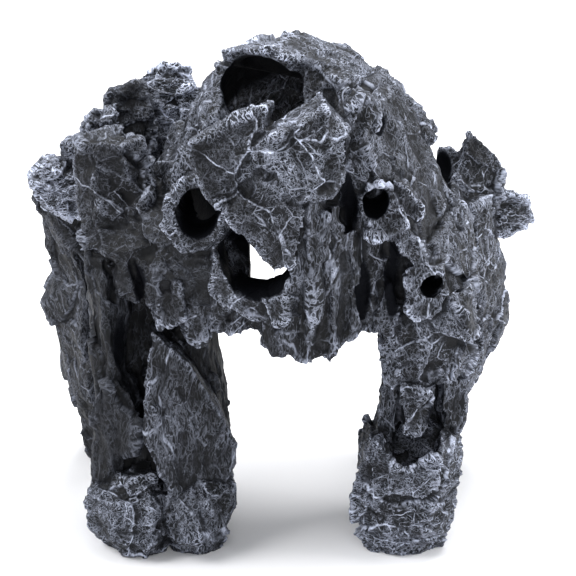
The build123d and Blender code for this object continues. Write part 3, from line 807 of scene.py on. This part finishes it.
def brushed_edges(tree, place, crest, grain):
    """Solid paint on the sharpest crests, eaten away by two grains."""
    edge = add(tree, "MapRange", crest, 0.2, 0.55, 0.0, 0.8, **FADE)
    edge = add(tree, "Math", edge, add(tree, "MapRange", grain, 0.46, 0.56, 0.08, 1.0, **FADE), **TIMES)
    speckle = add(tree, "TexNoise", Vector=place, Scale=1 / (1.1 * MM), Roughness=0.7)
    return add(tree, "Math", edge, add(tree, "MapRange", speckle, 0.44, 0.56, 0.3, 1.0, **FADE), **TIMES)


# %% [markdown]
# One function makes both finishes. The legs' feet took the most dusting, the other castings less. The
# brushed lines also stand up by a hair in the bump, as thick acrylic does, and a calm place loses its
# paint and its sheen.


# %% The finished materials
def resin(name, dust):
    """Charcoal polyresin with brushed paint, and how much dust it took."""
    material = bpy.data.materials.new(name)
    material.use_nodes = True
    tree = material.node_tree
    shader = tree.nodes["Principled BSDF"]
    place = add(tree, "Attribute", attribute_name="pattern").outputs["Vector"]
    crest, ridge, calm, painted, craggy = [
        add(tree, "Attribute", attribute_name=kept).outputs["Fac"]
        for kept in ("crest", "ridge", "calm", "painted", "craggy")]
    patch = add(tree, "TexNoise", Vector=place, Scale=1 / (11 * MM), Detail=3, Roughness=0.6)
    patch = add(tree, "MapRange", patch, 0.42, 0.62, 0.0, 1.0, **FADE)
    grain = add(tree, "TexNoise", Vector=place, Scale=1 / (0.6 * MM), Roughness=0.7)

    dust_and_painted_light = add(tree, "Math", patch, add(tree, "MapRange", grain, 0.42, 0.62, 0.0, dust, **FADE), **TIMES)
    # The casting's paint number scales the dusting, so this also carries painted light and shade.
    dust_and_painted_light = add(tree, "Math", dust_and_painted_light, painted, **TIMES)
    base = bare_resin(tree, place, ridge, dust_and_painted_light)

    busy = add(tree, "TexNoise", Vector=place, Scale=1 / (26 * MM))
    busy = add(tree, "MapRange", busy, 0.42, 0.58, 0.25, 1.0, **FADE)
    busy = add(tree, "Math", busy, craggy, **TIMES)
    lines = brushed_lines(tree, place, patch, busy)
    lines = add(tree, "Math", lines, add(tree, "MapRange", ridge, -0.7, 0.2, 0.12, 1.0, **FADE), **TIMES)
    lines = add(tree, "Math", lines, add(tree, "MapRange", grain, 0.32, 0.5, 0.35, 1.0, **FADE), **TIMES)
    pale = add(tree, "Math", brushed_edges(tree, place, crest, grain), lines, **LARGER)
    # The casting's paint number scales the brushed paint, which adds painted light and shade to each
    # casting.
    pale = add(tree, "Math", pale, painted, **TIMES)
    pale = add(tree, "Math", pale, add(tree, "MapRange", crest, 0.6, 1.3, 1.0, 0.15, **FADE), **TIMES)
    pale = add(tree, "Math", pale, add(tree, "Math", 1.0, calm, **MINUS), use_clamp=True, **TIMES)

    base = add(tree, "MixRGB", add(tree, "Math", calm, 0.9, **TIMES), base, CALM)
    colour = add(tree, "MixRGB", pale, base, PALE)
    sheen = add(tree, "MapRange", calm, 0.2, 0.9, 0.2, 0.02, **FADE)
    height = add(tree, "Math", grain, 0.15, add(tree, "Math", lines, 0.25, **TIMES), **TIMES_PLUS)
    bump = add(tree, "Bump", Strength=0.8, Distance=MM, Height=height)
    shader.inputs["Roughness"].default_value = 0.6
    for socket, made in (("Base Color", colour), ("Specular IOR Level", sheen), ("Normal", bump)):
        tree.links.new(made.outputs[0], shader.inputs[socket])
    return material


charcoal = resin("charcoal_polyresin", 0.42)
feet = resin("dusty_polyresin", 0.8)
FEET = ("left_foot_outer", "left_foot_inner", "right_foot")
for node, piece in pieces.items():
    piece.data.materials.clear()
    piece.data.polygons.foreach_set("material_index", [0] * len(piece.data.polygons))
    piece.data.materials.append(feet if node in FEET else charcoal)
    piece.data.polygons.foreach_set("use_smooth", [True] * len(piece.data.polygons))
    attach(piece, "root")
    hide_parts(node)

# %% [markdown]
# ## Floor, light and camera
# The floor is plain pale paper. Four softboxes light the rock: the key from the upper left models the
# facets, the one above, the strongest, fills the tops, one from the right lifts the dark side, and a weak
# one in front opens the hollows. A bright, even room keeps the shadow on the floor faint.

# %% Floor
bpy.ops.object.select_all(action="DESELECT")
bpy.ops.mesh.primitive_plane_add(size=6, location=(0, 0, 0))
floor = bpy.context.object
floor.name = "floor"
paper = bpy.data.materials.new("white_paper")
paper.use_nodes = True
paper.node_tree.nodes["Principled BSDF"].inputs["Base Color"].default_value = linear("#fafafc")
paper.node_tree.nodes["Principled BSDF"].inputs["Roughness"].default_value = 0.9
floor.data.materials.append(paper)


# %% Softboxes and room light
def softbox(name, place, aim, size, watts):
    bpy.ops.object.select_all(action="DESELECT")
    bpy.ops.object.light_add(type="AREA", location=place)
    light = bpy.context.object
    light.name = name
    light.data.size = size
    light.data.energy = watts
    light.rotation_mode = "QUATERNION"
    light.rotation_quaternion = (Vector(aim) - Vector(place)).to_track_quat("-Z", "Y")


softbox("key", (-0.7, -0.15, 0.8), (0, 0, 0.08), 0.5, 8.5)
softbox("top", (0.15, 0.35, 1.0), (0, 0, 0.08), 0.8, 14)
softbox("side", (0.9, 0.0, 0.45), (0, 0, 0.08), 0.5, 5.5)
softbox("front", (0.1, -1.0, 0.6), (0, 0, 0.06), 0.8, 3)
world = bpy.data.worlds.new("studio")
bpy.context.scene.world = world
world.use_nodes = True
world.node_tree.nodes["Background"].inputs[0].default_value = (0.95, 0.97, 1.0, 1.0)
world.node_tree.nodes["Background"].inputs[1].default_value = 0.45

# %% Camera: 600 mm away, looking down by 22 degrees
AWAY, DOWN = 600 * MM, math.radians(22)
SIGHT = Vector((0, math.cos(DOWN), -math.sin(DOWN)))
bpy.ops.object.select_all(action="DESELECT")
bpy.ops.object.camera_add(location=Vector((0, 0, 0.072)) - SIGHT * AWAY)
camera = bpy.context.object
camera.name = "camera"
camera.rotation_mode = "QUATERNION"
camera.rotation_quaternion = SIGHT.to_track_quat("-Z", "Y")
camera.data.lens = 125
camera.data.sensor_width = 36
bpy.context.scene.camera = camera
bpy.context.scene.view_settings.view_transform = "Standard"
